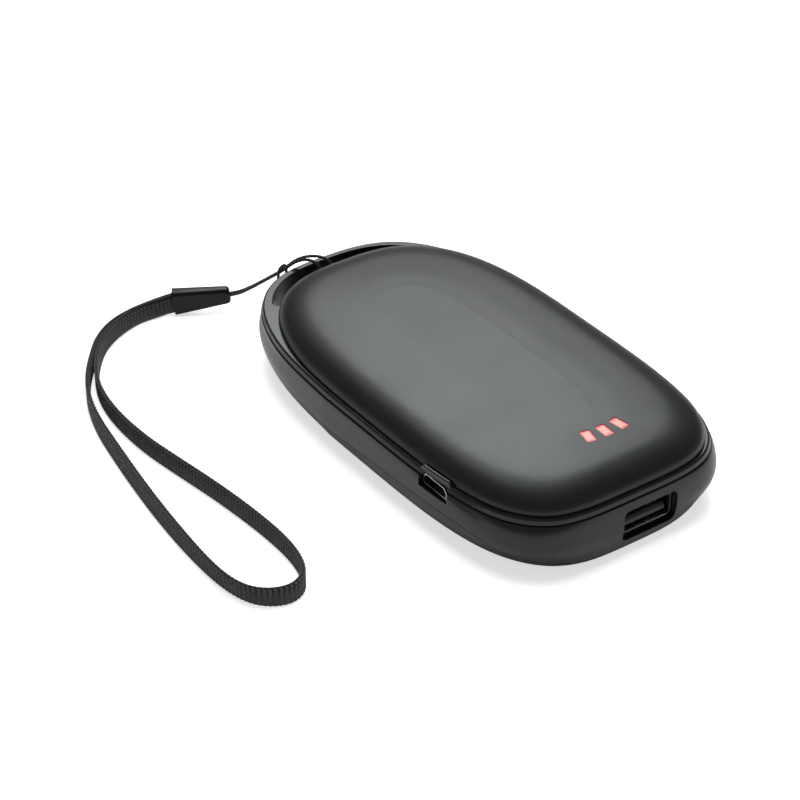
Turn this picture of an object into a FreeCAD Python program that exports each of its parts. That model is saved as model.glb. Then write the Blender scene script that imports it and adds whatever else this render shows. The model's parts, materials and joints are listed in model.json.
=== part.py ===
import FreeCAD, Part
import math
import os

# Rechargeable hand warmer with two power sockets and a wrist strap. Millimetres.
# +X points to the large socket, +Z up, and the origin is under the middle of the case, on the table.

V = FreeCAD.Vector
os.makedirs("parts", exist_ok=True)

# Case outline: each end is half of a superellipse, blunt at the socket end and rounder at the lanyard end.
rim_half_length = 56.2
rim_half_width = 30.8
socket_end_power = 4.15
lanyard_end_power = 2.87
belly_power_gain = 0.45
foot_power_loss = 0.75
lanyard_foot_loss = 0.55
quarter_steps = 8
overrun = 2.0

# Heights and walls of the case.
rim_height = 15.0
crown_rise = 5.1
wall_bulge = 0.5
end_belly = 0.5
side_belly = 0.2
belly_height_share = 0.6
rim_lip_height = 1.25
rim_lip_flare = 0.25
rim_round = 0.45
wall_top_round = 0.2
groove_height = 0.25
groove_depth = 0.3
frame_wall = 2.2
end_turn_in = 5.0
end_turn_height = 5.0
side_turn_in = 8.8
side_turn_height = 8.0
turn_power = 2.2
turn_height_shares = (0.0, 0.05, 0.15, 0.35, 0.6, 0.8, 1.0, 1.35)
inside_height_shares = (0.35, 0.6, 1.0)
floor_thickness = 1.9
bottom_wall = 2.0
seam_gap = 0.12
seam_lip_rise = 1.5
lip_clearance = 0.12
lip_thickness = 1.2

# Parting line between frame and bottom cover, as shares of the half length and of the rim height.
seam_shares = (
    (-1.08, 0.21),
    (-0.72, 0.26),
    (-0.39, 0.355),
    (0.10, 0.48),
    (0.59, 0.56),
    (0.79, 0.50),
    (0.92, 0.31),
    (1.00, 0.165),
    (1.08, 0.11),
)

# Top cover: foot on the rim, rounded edge, low crown.
cover_step = 0.8
cover_edge_width = 9.3
cover_edge_rise = 4.4
cover_edge_power = 2.6
cover_wall = 3.2
cover_roof = 2.0
inner_edge_width = 3.5
cover_lip_depth = 2.2
cover_lip_wall = 1.0
edge_angle_shares = (0.0, 0.16, 0.34, 0.55, 0.78, 1.0)
crown_reach_share = 0.7
crown_section_shares = (0.6, 0.79, 1.0)

# Lanyard slot and the bar outside it.
bar_width = 1.4
bar_side_width = 2.2
bar_height = 8.5
slot_width = 5.3
slot_reach_share = 0.68
slot_end_radius = 0.9
slot_margin = 0.15
bulkhead = 2.2
arch_half_width_share = 0.455
arch_radius = 3.0

# Circuit board.
board_depth = 3.25
board_thickness = 1.0
board_length = 33.1
board_clearance = 0.4
post_radius = 2.2
screw_radius = 0.85
screw_head_radius = 1.9
screw_head_height = 1.3
screw_depth = 6.0
screw_clearance = 0.05
post_back_inset = 3.3
post_front_inset = 7.6
post_back_side_gap = 9.1
post_front_side_gap = 10.6

# Large socket under the board, in a pocket of the end wall.
socket_y = 3.05
socket_width = 13.1
socket_height = 5.7
socket_length = 14.0
socket_sheet = 0.3
socket_corner = 0.5
socket_clearance = 0.2
socket_proud = 0.3
pocket_width = 13.9
pocket_height = 7.4
pocket_depth = 1.5
pocket_corner = 1.3
tongue_width = 11.1
tongue_thickness = 1.84
tongue_length = 8.9
tongue_drop = 1.15
tongue_setback = 0.7
tongue_base = 2.4
contact_pitch = 2.3
contact_width = 1.0
contact_thickness = 0.18
contact_length = 6.6
socket_contact_count = 4

# Small charging inlet on the board, under a hood of the long side.
inlet_setback = 27.0
inlet_width = 8.0
inlet_height = 2.6
inlet_length = 5.4
inlet_sink = 0.4
inlet_sheet = 0.25
inlet_bevel = 0.9
inlet_tongue_width = 5.0
inlet_tongue_thickness = 0.75
inlet_tongue_length = 3.4
inlet_contact_count = 5
inlet_contact_pitch = 0.8
inlet_contact_width = 0.4
inlet_contact_thickness = 0.1
inlet_contact_share = 0.9
mouth_width = 8.8
mouth_height = 3.4
mouth_bevel = 1.2
mouth_drop = 0.15
hood_half_width = 4.7
hood_rise = 1.0
hood_ramp = 0.8
hood_depth = 0.75
hood_round = 0.25
hood_clearance = 0.15

# Windows, light guide and lights.
window_end_gap = 15.0
window_y = 3.4
window_pitch = 4.0
window_length = 3.7
window_width = 2.25
window_corner = 0.45
window_fan = 11.0
window_stagger = 0.3
window_clearance = 0.05
window_sink = 0.12
guide_plate = 1.2
guide_length = 6.4
guide_width = 13.4
guide_gap = 0.05
light_length = 2.8
light_width = 1.4
light_height = 0.7
shade_wall = 0.8

# Button and its switch on the hidden long side.
button_setback = 26.3
button_length = 11.0
button_height = 2.8
button_proud = 0.15
button_clearance = 0.15
button_travel = 0.5
flange_length = 13.6
flange_height = 3.4
flange_thickness = 0.8
flange_clearance = 0.15
switch_length = 6.2
switch_depth = 3.6
switch_height = 2.9
stem_length = 3.0
stem_height = 1.3
stem_reach = 1.2
stem_insert = 1.0
stem_clearance = 0.08

# Cell, pads, heater films and sensor.
cell_back_gap = 14.7
cell_front_gap = 4.5
cell_side_gap = 8.8
lower_pad_thickness = 2.2
upper_pad_thickness = 2.6
cell_round = 2.0
film_thickness = 0.2
film_overhang = 0.6
film_corner = 7.0
pad_inset = 2.5
tab_width = 4.0
tab_thickness = 0.15
tab_spread_share = 0.505
tab_length = 2.4
guard_depth = 3.0
guard_side_gap = 3.8
guard_thickness = 0.8
guard_gap = 0.2
guard_drop = 0.5
lead_radius = 0.6
lead_spread = 3.0
lead_rise = 3.3
lead_landing = 3.0
lead_bend = 1.3
heater_lead_radius = 0.45
heater_lead_side_gap = 19.6
heater_lead_pitch = 3.0
heater_lead_gap = 0.02
heater_lead_landing = 6.0
heater_lead_bend = 2.0
sensor_radius = 0.8
sensor_side_gap = 20.6
sensor_lead_radius = 0.25
sensor_lead_pitch = 0.9
sensor_lead_landing = 8.0

# Parts on the board.
coil_size = 7.0
coil_height = 3.4
coil_corner = 1.4
coil_inset = 14.5
coil_side_gap = 17.1
coil_button_radius = 2.2
coil_button_height = 0.5
chip_height = 1.5
control_chip_inset = 13.0
control_chip_side_gap = 17.1
control_chip_length = 6.0
control_chip_width = 5.0
power_chip_inset = 22.5
power_chip_side_gap = 15.6
power_chip_length = 5.0
power_chip_width = 4.0
pin_count = 4
pin_length = 0.9
pin_width = 0.4
pin_thickness = 0.25
chip_part_count = 6
chip_part_length = 2.0
chip_part_width = 1.25
chip_part_height = 1.1
chip_part_pitch = 2.4
chip_part_inset = 28.6
chip_part_side_gap = 14.0

# Wrist strap: a flat braided band that stands on its edge, the clamp and the thin string.
band_width = 5.0
band_thickness = 0.9
band_lift = 0.1
band_rise_shares = (0.75, 0.4, 0.12)
clamp_mouth_reach = 19.5
clamp_mouth_side = 29.1
clamp_mouth_rise = 3.2
clamp_exit_reach = 12.3
clamp_exit_side = 18.1
clamp_exit_rise = 4.9
clamp_mouth_height = 6.0
clamp_mouth_thickness = 3.5
clamp_exit_height = 3.8
clamp_exit_thickness = 2.7
clamp_corner = 0.7
clamp_wall = 0.4
clamp_hold_depth = 2.4
clamp_lead_in = 1.0
clamp_neck_height = 1.0
clamp_neck_width = 2.2
band_spread = 0.55
band_grip = 2.1
string_diameter = 0.6
string_grip = 1.6
string_spread = 0.45
string_apart = 4.8

# The band's route on the table, from the clamp round the loop and back, counted from the bar's outer face.
band_route = (
    (-19.7, -33.5), (-19.7, -37.8), (-18.6, -42.2), (-16.4, -47.0), (-13.0, -51.2), (-8.3, -55.6),
    (-2.5, -59.4), (4.7, -62.2), (14.2, -63.6), (25.5, -63.5), (36.2, -62.0), (48.2, -60.1),
    (60.2, -58.8), (70.7, -58.3), (78.2, -58.9), (83.9, -60.8), (86.4, -64.2), (86.3, -68.0),
    (83.6, -71.9), (79.0, -74.0), (71.7, -74.8), (60.7, -74.7), (48.7, -73.9), (36.2, -72.2),
    (24.8, -70.2), (14.3, -68.0), (5.2, -65.4), (-2.7, -62.0), (-9.4, -57.3), (-14.5, -52.2),
    (-18.4, -46.7), (-20.6, -41.5), (-21.6, -37.1), (-21.4, -33.0),
)

# The string's route: from the clamp through its own bight, over the bar, down the slot, under the bar,
# up outside it, round the bight and back the same way. Lengths count from the bar's outer face, and
# heights are shares of the rim's height.
string_route_shares = (
    (-8.1, -15.4, 0.5), (-4.6, -13.1, 0.72), (-1.2, -10.75, 0.93), (0.55, -8, 1.1067),
    (1.7, -5.2, 1.12), (3.3, -3.3, 1.02), (3.8, -2.7, 0.7667), (3.6, -3.3, 0.48),
    (2.3, -5.8, 0.3467), (-0.6, -9.8, 0.35), (-1.7, -11.4, 0.56), (-1.1, -11.8, 0.8),
    (-1.1, -11.6, 1.007), (-2.3, -8.8, 1.007), (-2.2, -8.8, 0.8), (-2.3, -8.5, 0.56),
    (-1.2, -6.6, 0.3533), (1.8, -2.4, 0.3333), (3.4, 0.1, 0.48), (3.7, 0.6, 0.7667),
    (3.2, -0.2, 1.0267), (1.6, -3, 1.1333), (0.2, -7.2, 1.1333), (-1.6, -10.05, 0.935),
    (-5, -12.4, 0.72), (-8.6, -14.65, 0.5),
)
route_bend_share = 0.45

# Sizes that follow from the ones above.
wall_half_length = rim_half_length + wall_bulge
wall_half_width = rim_half_width + wall_bulge
wall_top = rim_height - rim_lip_height - groove_height
belly_height = rim_height * belly_height_share
slot_outer = rim_half_length - bar_width
slot_reach = rim_half_width * slot_reach_share
arch_half_width = rim_half_width * arch_half_width_share
slot_inner = slot_outer - slot_width
cavity_front = rim_half_length - frame_wall
cavity_back = slot_inner - bulkhead
cavity_half_width = rim_half_width - frame_wall
cover_front = rim_half_length - cover_step
cover_back = slot_inner - slot_margin
cover_half_width = rim_half_width - cover_step
crown_reach = cover_half_width * crown_reach_share
case_top = rim_height + crown_rise
roof_inside = case_top - cover_roof
board_top = rim_height - board_depth
board_bottom = board_top - board_thickness
board_front = cavity_front - board_clearance
board_back = board_front - board_length
post_back_x = board_back + post_back_inset
post_front_x = board_front - post_front_inset
post_back_y = cavity_half_width - post_back_side_gap
post_front_y = cavity_half_width - post_front_side_gap
inlet_x = rim_half_length - inlet_setback
inlet_front = rim_half_width - inlet_sink
window_x = rim_half_length - window_end_gap
button_x = rim_half_length - button_setback
cell_back = cell_back_gap - cavity_back
cell_front = board_back - cell_front_gap
cell_half_width = cavity_half_width - cell_side_gap
cell_bottom = floor_thickness + film_thickness + lower_pad_thickness
cell_top = roof_inside - film_thickness - upper_pad_thickness
tab_spread = cell_half_width * tab_spread_share
guard_half_width = cell_half_width - guard_side_gap
guard_bottom = (cell_bottom + cell_top) / 2 - guard_drop
coil_x = board_back + coil_inset
coil_y = coil_side_gap - cavity_half_width
control_chip_x = board_back + control_chip_inset
control_chip_y = cavity_half_width - control_chip_side_gap
power_chip_x = board_back + power_chip_inset
power_chip_y = power_chip_side_gap - cavity_half_width
chip_part_x = board_back + chip_part_inset
chip_part_y = chip_part_side_gap - cavity_half_width
heater_lead_y = heater_lead_side_gap - cavity_half_width
sensor_y = cavity_half_width - sensor_side_gap
clamp_mouth = V(-rim_half_length - clamp_mouth_reach, -clamp_mouth_side, clamp_mouth_rise)
clamp_exit = V(-rim_half_length - clamp_exit_reach, -clamp_exit_side, clamp_exit_rise)
socket_z = board_bottom - socket_height / 2
pocket_floor = wall_half_length - pocket_depth
socket_front = pocket_floor + socket_proud
inlet_z = board_top + inlet_height / 2
button_z = board_top + switch_height / 2
guide_top = roof_inside - guide_gap
guide_bottom = guide_top - guide_plate


def quarter_edge(half_length, half_width, power, x_sign, y_sign, z, to_side):
    # One quarter of a superellipse, square to both axes at its ends.
    points = []
    for step in range(quarter_steps + 1):
        share = step / quarter_steps if to_side else 1 - step / quarter_steps
        c = math.cos(share * math.pi / 2)
        s = math.sin(share * math.pi / 2)
        reach = (abs(c) ** power + abs(s) ** power) ** (-1 / power)
        points.append(V(x_sign * half_length * reach * c, y_sign * half_width * reach * s, z))
    along_y = V(0, y_sign if to_side else -y_sign, 0)
    along_x = V(-x_sign if to_side else x_sign, 0, 0)
    first, last = (along_y, along_x) if to_side else (along_x, along_y)
    curve = Part.BSplineCurve()
    curve.interpolate(Points=points, InitialTangent=first, FinalTangent=last)
    return curve.toShape()


def outline(front, back, half_width, z, front_power=socket_end_power, back_power=lanyard_end_power):
    return Part.Wire([
        quarter_edge(front, half_width, front_power, 1, 1, z, True),
        quarter_edge(back, half_width, back_power, -1, 1, z, False),
        quarter_edge(back, half_width, back_power, -1, -1, z, True),
        quarter_edge(front, half_width, front_power, 1, -1, z, False),
    ])


def prism(front, back, half_width, low, high):
    return Part.Face(outline(front, back, half_width, low)).extrude(V(0, 0, high - low))


def box(x0, x1, y0, y1, z0, z1):
    return Part.makeBox(x1 - x0, y1 - y0, z1 - z0, V(x0, y0, z0))


def block(x, y, z, length, width, height, corner=0.0):
    # A block centred on x and y that stands on z, with its upright edges rounded.
    solid = box(x - length / 2, x + length / 2, y - width / 2, y + width / 2, z, z + height)
    if corner > 0:
        upright = [e for e in solid.Edges if e.BoundBox.ZLength > height / 2]
        solid = solid.makeFillet(corner, upright)
    return solid


def tube_block(x0, x1, y, z, width, height, corner):
    # A block along X with its long edges rounded.
    solid = box(x0, x1, y - width / 2, y + width / 2, z - height / 2, z + height / 2)
    along = [e for e in solid.Edges if e.BoundBox.XLength > (x1 - x0) / 2]
    return solid.makeFillet(corner, along)


def group(solids):
    return Part.makeCompound(solids)


def joined(solids):
    return solids[0].multiFuse(solids[1:]).removeSplitter()


def turn_in(height, reach, turn_height):
    # How far the wall has turned in at a height above the table.
    if height >= turn_height:
        return 0.0
    share = 1 - height / turn_height
    return reach * (1 - (1 - share ** turn_power) ** (1 / turn_power))


def belly(height):
    # Share of the wall's belly at a height: full at the belly's height, none at the top of the wall.
    share = (height - belly_height) / (wall_top - belly_height)
    return max(0.0, 1 - share * share)


def wall_reach(height):
    # Half length and half width of the wall at a height.
    end = wall_half_length + end_belly * belly(height) - turn_in(height, end_turn_in, end_turn_height)
    side = wall_half_width + side_belly * belly(height) - turn_in(height, side_turn_in, side_turn_height)
    return end, side


def wall_section(height):
    # The corners are rounder towards the foot, and the socket end's are fullest at the belly.
    end, side = wall_reach(height)
    foot = max(0.0, 1 - height / side_turn_height)
    power = socket_end_power + belly_power_gain * belly(height) - foot_power_loss * foot
    return outline(end, end, side, height, power, lanyard_end_power - lanyard_foot_loss * foot)


def rounded_top(solid, height, radius):
    # Rounds the edges that lie in the plane of a height.
    edges = [e for e in solid.Edges
             if abs(e.BoundBox.ZMin - height) + abs(e.BoundBox.ZMax - height) < radius]
    return solid.makeFillet(radius, edges)


def body_wall():
    # The outer form of frame and bottom cover together, with the groove under the rim.
    heights = [share * side_turn_height for share in turn_height_shares]
    wall = Part.makeLoft([wall_section(z) for z in heights + [wall_top]], True)
    wall = rounded_top(wall, wall_top, wall_top_round)
    lip_low = rim_height - rim_lip_height
    flared = rim_half_length + rim_lip_flare
    lip = Part.makeLoft([outline(flared, flared, rim_half_width + rim_lip_flare, lip_low),
                         outline(rim_half_length, rim_half_length, rim_half_width, rim_height)], True)
    lip = rounded_top(lip, rim_height, rim_round)
    neck_length = rim_half_length - groove_depth
    neck_low = wall_top - groove_height
    neck = prism(neck_length, neck_length, rim_half_width - groove_depth, neck_low, lip_low + groove_height)
    return joined([wall, neck, lip])


def seam_region(shift, upward):
    # All space above or below the parting line, moved by shift.
    points = [V(x * rim_half_length, 0, z * rim_height + shift) for x, z in seam_shares]
    curve = Part.BSplineCurve()
    curve.interpolate(Points=points)
    far = rim_height + overrun if upward else -overrun
    start, end = points[0], points[-1]
    rest = Part.makePolygon([end, V(end.x, 0, far), V(start.x, 0, far), start])
    face = Part.Face(Part.Wire([curve.toShape()] + rest.Edges))
    half = wall_half_width + overrun
    face.translate(V(0, -half, 0))
    return face.extrude(V(0, half * 2, 0))


def slot_cutter():
    # The crescent between bar and bulkhead, open above and below.
    low, high = -overrun, rim_height + hood_rise + overrun
    outer = prism(slot_outer, slot_outer, rim_half_width - bar_side_width, low, high)
    inner = prism(slot_inner, slot_inner, cover_half_width, low - overrun, high + overrun)
    reach = box(-rim_half_length, -slot_end_radius, -slot_reach, slot_reach, low, high)
    crescent = outer.cut(inner).common(reach)
    upright = [e for e in crescent.Edges if e.BoundBox.ZLength > rim_height
               and abs(abs(e.CenterOfMass.y) - slot_reach) < slot_end_radius]
    return crescent.makeFillet(slot_end_radius, upright)


def arch_cutter():
    # Opens the wall under the bar so that a string can pass below it.
    high = rim_height - bar_height
    arch = box(-wall_half_length - overrun, -slot_inner, -arch_half_width, arch_half_width, -overrun, high)
    upper = [e for e in arch.Edges if e.BoundBox.XLength > bar_width and e.CenterOfMass.z > high - overrun]
    return arch.makeFillet(arch_radius, upper)


def hood_block(spread):
    # The raised part of the rim over the charging inlet, with sloping ends.
    foot = hood_half_width + spread
    crest = foot - hood_ramp
    top = rim_height + hood_rise + spread
    base = rim_height - rim_lip_height
    profile = Part.makePolygon([V(inlet_x - foot, 0, base), V(inlet_x + foot, 0, base),
                                V(inlet_x + foot, 0, rim_height), V(inlet_x + crest, 0, top),
                                V(inlet_x - crest, 0, top), V(inlet_x - foot, 0, rim_height),
                                V(inlet_x - foot, 0, base)])
    slab = Part.Face(profile).extrude(V(0, -wall_half_width, 0))
    ring = prism(rim_half_length + spread, rim_half_length + spread, rim_half_width + spread,
                 base - overrun, top + overrun)
    depth = hood_depth + spread
    core = prism(rim_half_length - depth, rim_half_length - depth, rim_half_width - depth,
                 base - overrun, top + overrun)
    hood = slab.common(ring.cut(core))
    return hood if spread > 0 else rounded_top(hood, top, hood_round)


def mouth_cutter():
    # The inlet's mouth through the long side, with its upper corners cut off.
    low = inlet_z - mouth_height / 2 - mouth_drop
    high = low + mouth_height
    half = mouth_width / 2
    profile = Part.makePolygon([V(inlet_x - half, 0, low), V(inlet_x + half, 0, low),
                                V(inlet_x + half, 0, high - mouth_bevel),
                                V(inlet_x + half - mouth_bevel, 0, high),
                                V(inlet_x - half + mouth_bevel, 0, high),
                                V(inlet_x - half, 0, high - mouth_bevel), V(inlet_x - half, 0, low)])
    cutter = Part.Face(profile).extrude(V(0, -frame_wall * 2 - overrun, 0))
    cutter.translate(V(0, -cavity_half_width + frame_wall, 0))
    return cutter


def pill(x, z, length, height, y0, y1):
    # A bar along Y whose section has round ends.
    solid = box(x - length / 2, x + length / 2, y0, y1, z - height / 2, z + height / 2)
    along = [e for e in solid.Edges if e.BoundBox.YLength > (y1 - y0) / 2]
    return solid.makeFillet(height / 2 - lip_clearance, along)


def socket_room(back):
    # The space that the large socket needs, from its back out through the wall.
    spread = socket_clearance * 2
    return tube_block(back, wall_half_length + overrun, socket_y, socket_z, socket_width + spread,
                      socket_height + spread, socket_corner)


def mid_frame(wall):
    frame = wall.common(seam_region(seam_gap / 2, True))
    frame = joined([frame, hood_block(0)])
    frame = frame.cut(prism(cavity_front, cavity_back, cavity_half_width, -overrun, rim_height + overrun))
    frame = frame.cut(slot_cutter()).cut(arch_cutter()).cut(mouth_cutter())
    pocket = tube_block(pocket_floor, wall_half_length + overrun, socket_y, socket_z,
                        pocket_width, pocket_height, pocket_corner)
    spread = button_clearance * 2
    hole = pill(button_x, button_z, button_length + spread, button_height + spread,
                cavity_half_width - frame_wall, wall_half_width + overrun)
    return frame.cut(pocket).cut(socket_room(cavity_front - socket_length)).cut(hole)


def lip_ring(low, high):
    outer_inset, inner_inset = lip_clearance, lip_clearance + lip_thickness
    front, back, side = cavity_front, cavity_back, cavity_half_width
    outer = prism(front - outer_inset, back - outer_inset, side - outer_inset, low, high)
    inner = prism(front - inner_inset, back - inner_inset, side - inner_inset, low - overrun, high + overrun)
    return outer.cut(inner)


def bottom_cover(wall):
    shell = wall.common(seam_region(-seam_gap / 2, False))
    inside = []
    for z in [floor_thickness] + [share * side_turn_height for share in inside_height_shares]:
        end, side = wall_reach(z)
        inside.append(outline(min(end - bottom_wall, cavity_front), cavity_back,
                              min(side - bottom_wall, cavity_half_width), z))
    inside.append(outline(cavity_front, cavity_back, cavity_half_width, rim_height))
    shell = shell.cut(Part.makeLoft(inside, True))
    lip = lip_ring(floor_thickness, rim_height).common(seam_region(seam_lip_rise, False))
    lip = lip.common(seam_region(-seam_lip_rise, True))
    shell = joined([shell, lip])
    tail = prism(slot_inner, slot_inner, cover_half_width, -overrun, rim_height)
    beside, outside = slot_reach + slot_margin, wall_half_width + overrun
    keep = [tail, box(-slot_inner / 2, wall_half_length + overrun, -outside, outside, -overrun, rim_height)]
    for low, high in ((-outside, -beside), (beside, outside)):
        keep.append(box(-wall_half_length - overrun, 0, low, high, -overrun, rim_height))
    shell = shell.common(joined(keep))
    shell = shell.cut(socket_room(socket_front - socket_length - socket_clearance))
    for x, y in post_places():
        shell = shell.fuse(Part.makeCylinder(post_radius, board_bottom - floor_thickness / 2,
                                             V(x, y, floor_thickness / 2)))
    for x, y in post_places():
        shell = shell.cut(Part.makeCylinder(screw_radius + screw_clearance, screw_depth + overrun,
                                            V(x, y, board_bottom - screw_depth - screw_clearance)))
    return shell


def dome(inset, edge_rise, edge_width, crown):
    # A domed solid on the rim plane: a rounded edge that runs into a low crown.
    front, back, side = cover_front - inset, cover_back - inset, cover_half_width - inset
    steps = []
    for share in edge_angle_shares:
        angle = share * math.pi / 2
        step_in = edge_width * (1 - max(math.cos(angle), 0) ** (2 / cover_edge_power))
        steps.append((step_in, edge_rise * math.sin(angle) ** (2 / cover_edge_power)))
    if crown > 0:
        steps += [(share * crown_reach, edge_rise) for share in crown_section_shares]
    sections = []
    for step_in, rise in steps:
        share = step_in / crown_reach
        z = rim_height + rise + crown * share * share * (3 - 2 * share)
        sections.append(outline(front - step_in, back - step_in, side - step_in, z))
    return Part.makeLoft(sections, True)


def window_places():
    # Centre and turn of each window, fanned out from the case's middle.
    for index in (-1, 0, 1):
        yield window_x - abs(index) * window_stagger, window_y + index * window_pitch, index * window_fan


def window_prism(place, spread, low, high):
    x, y, turn = place
    solid = block(x, y, low, window_length + spread * 2, window_width + spread * 2,
                  high - low, window_corner)
    solid.rotate(V(x, y, low), V(0, 0, 1), turn)
    return solid


def top_cover():
    shell = dome(0, cover_edge_rise, cover_edge_width, crown_rise - cover_edge_rise)
    shell = shell.cut(dome(cover_wall, crown_rise - cover_roof, inner_edge_width, 0))
    lip_low, lip_out = rim_height - cover_lip_depth, cover_wall - cover_lip_wall
    lip = prism(cover_front - lip_out, cover_back - lip_out, cover_half_width - lip_out, lip_low, rim_height)
    lip = lip.cut(prism(cover_front - cover_wall, cover_back - cover_wall, cover_half_width - cover_wall,
                        lip_low - overrun, rim_height + overrun))
    inlet_room = box(inlet_x - hood_half_width - hood_clearance, inlet_x + hood_half_width + hood_clearance,
                     -cover_half_width, -inlet_front + inlet_length + hood_clearance,
                     lip_low - overrun, rim_height + hood_rise + hood_clearance)
    button_reach = flange_length / 2 + hood_clearance
    button_room = box(button_x - button_reach, button_x + button_reach, 0, cover_half_width,
                      lip_low - overrun, rim_height)
    lip = lip.cut(inlet_room).cut(button_room)
    shell = joined([shell, lip]).cut(hood_block(hood_clearance))
    for place in window_places():
        shell = shell.cut(window_prism(place, window_clearance, roof_inside - overrun, case_top + overrun))
    return shell


def light_guide():
    plate = block(window_x, window_y, guide_bottom, guide_length, guide_width, guide_plate, window_corner)
    skin = dome(0, cover_edge_rise, cover_edge_width, crown_rise - cover_edge_rise)
    skin.translate(V(0, 0, -window_sink))
    post_low = guide_top - guide_plate / 2
    posts = [window_prism(place, 0, post_low, case_top).common(skin) for place in window_places()]
    return joined([plate] + posts)


def light_shade():
    height = guide_bottom - board_top
    solid = block(window_x, window_y, board_top, guide_length, guide_width, height, window_corner)
    for place in window_places():
        solid = solid.cut(window_prism(place, -shade_wall / 4, board_top - overrun, guide_bottom + overrun))
    return solid


def status_lights():
    lights = []
    for x, y, turn in window_places():
        light = block(x, y, board_top, light_length, light_width, light_height)
        light.rotate(V(x, y, board_top), V(0, 0, 1), turn)
        lights.append(light)
    return group(lights)


def post_places():
    rows = ((post_back_x, post_back_y), (post_front_x, post_front_y))
    return [(x, sign * y) for x, y in rows for sign in (-1, 1)]


def main_board():
    inset = board_clearance + lip_thickness
    board = prism(board_front, cavity_back, cavity_half_width - inset, board_bottom, board_top)
    board = board.common(box(board_back, cavity_front, -cavity_half_width, cavity_half_width,
                             board_bottom - overrun, board_top + overrun))
    board = board.cut(box(button_x - flange_length / 2 - overrun, button_x + flange_length / 2 + overrun,
                          stem_front() - button_travel - board_clearance, cavity_half_width,
                          board_bottom - overrun, board_top + overrun))
    for x, y in post_places():
        hole = Part.makeCylinder(screw_radius + screw_clearance * 2, board_thickness + overrun * 2,
                                 V(x, y, board_bottom - overrun))
        board = board.cut(hole)
    return board


def board_screws():
    screws = []
    for x, y in post_places():
        shank = Part.makeCylinder(screw_radius, screw_depth, V(x, y, board_top - screw_depth))
        head = Part.makeCylinder(screw_head_radius, screw_head_height, V(x, y, board_top))
        head = head.makeFillet(screw_head_height / 3, [head.Edges[0]])
        socket_radius = screw_radius / 2
        screw = shank.fuse(head).removeSplitter()
        screws.append(screw.cut(Part.makeCylinder(socket_radius, screw_head_height,
                                                  V(x, y, board_top + screw_head_height / 2))))
    return group(screws)


def output_socket_shell():
    back = socket_front - socket_length
    shell = tube_block(back, socket_front, socket_y, socket_z, socket_width, socket_height, socket_corner)
    width, height = socket_width - socket_sheet * 2, socket_height - socket_sheet * 2
    hollow = tube_block(back + socket_sheet, socket_front + overrun, socket_y, socket_z, width, height,
                        socket_corner - socket_sheet / 2)
    return shell.cut(hollow)


def output_socket_tongue():
    back = socket_front - socket_length + socket_sheet
    front = socket_front - tongue_setback
    z = socket_z - tongue_drop
    inset = (socket_sheet + lip_clearance / 2) * 2
    base = tube_block(back, back + tongue_base, socket_y, socket_z, socket_width - inset,
                      socket_height - inset, socket_corner)
    bar = box(back, front, socket_y - tongue_width / 2, socket_y + tongue_width / 2,
              z - tongue_thickness / 2, z + tongue_thickness / 2)
    nose = [e for e in bar.Edges
            if e.BoundBox.YLength > tongue_width / 2 and e.CenterOfMass.x > front - overrun]
    return joined([base, bar.makeChamfer(tongue_thickness / 4, nose)])


def output_socket_contacts():
    low = socket_z - tongue_drop + tongue_thickness / 2
    front = socket_front - tongue_setback - tongue_thickness / 2
    strips = []
    for index in range(socket_contact_count):
        y = socket_y + (index - (socket_contact_count - 1) / 2) * contact_pitch
        strips.append(box(front - contact_length, front, y - contact_width / 2, y + contact_width / 2,
                          low, low + contact_thickness))
    return group(strips)


def inlet_profile(y, inset):
    half, low, high = inlet_width / 2 - inset, board_top + inset, board_top + inlet_height - inset
    bevel = inlet_bevel
    points = [V(inlet_x - half, y, low), V(inlet_x + half, y, low), V(inlet_x + half, y, high - bevel),
              V(inlet_x + half - bevel, y, high), V(inlet_x - half + bevel, y, high),
              V(inlet_x - half, y, high - bevel), V(inlet_x - half, y, low)]
    return Part.Face(Part.makePolygon(points))


def charge_inlet_shell():
    shell = inlet_profile(-inlet_front, 0).extrude(V(0, inlet_length, 0))
    depth = inlet_length + overrun - inlet_sheet
    hollow = inlet_profile(-inlet_front - overrun, inlet_sheet).extrude(V(0, depth, 0))
    return shell.cut(hollow)


def charge_inlet_tongue():
    back = -inlet_front + inlet_length - inlet_sheet
    z = inlet_z + inlet_tongue_thickness / 2
    bar = box(inlet_x - inlet_tongue_width / 2, inlet_x + inlet_tongue_width / 2,
              back - inlet_tongue_length, back,
              z - inlet_tongue_thickness / 2, z + inlet_tongue_thickness / 2)
    nose = [e for e in bar.Edges if e.BoundBox.XLength > inlet_tongue_width / 2
            and e.CenterOfMass.y < back - inlet_tongue_length / 2]
    return bar.makeChamfer(inlet_tongue_thickness / 4, nose)


def charge_inlet_contacts():
    back = -inlet_front + inlet_length - inlet_sheet
    high = inlet_z
    front = back - inlet_tongue_length * inlet_contact_share
    strips = []
    for index in range(inlet_contact_count):
        x = inlet_x + (index - (inlet_contact_count - 1) / 2) * inlet_contact_pitch
        strips.append(box(x - inlet_contact_width / 2, x + inlet_contact_width / 2,
                          front, back, high - inlet_contact_thickness, high))
    return group(strips)


def side_reach(x, front, half_width):
    # Half width of an outline at a place along the socket end.
    return half_width * (1 - (abs(x) / front) ** socket_end_power) ** (1 / socket_end_power)


def flange_front():
    return side_reach(button_x + flange_length / 2, cavity_front, cavity_half_width) - flange_clearance


def power_button():
    # The cap's face follows the wall's outline and stands a little proud of it.
    front = flange_front()
    length, width = wall_half_length + button_proud, wall_half_width + button_proud
    cap = pill(button_x, button_z, button_length, button_height,
               front - flange_thickness / 2, width + overrun)
    cap = cap.common(prism(length, length, width, button_z - button_height, button_z + button_height))
    flange = box(button_x - flange_length / 2, button_x + flange_length / 2, front - flange_thickness, front,
                 button_z - flange_height / 2, button_z + flange_height / 2)
    return joined([cap, flange])


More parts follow.
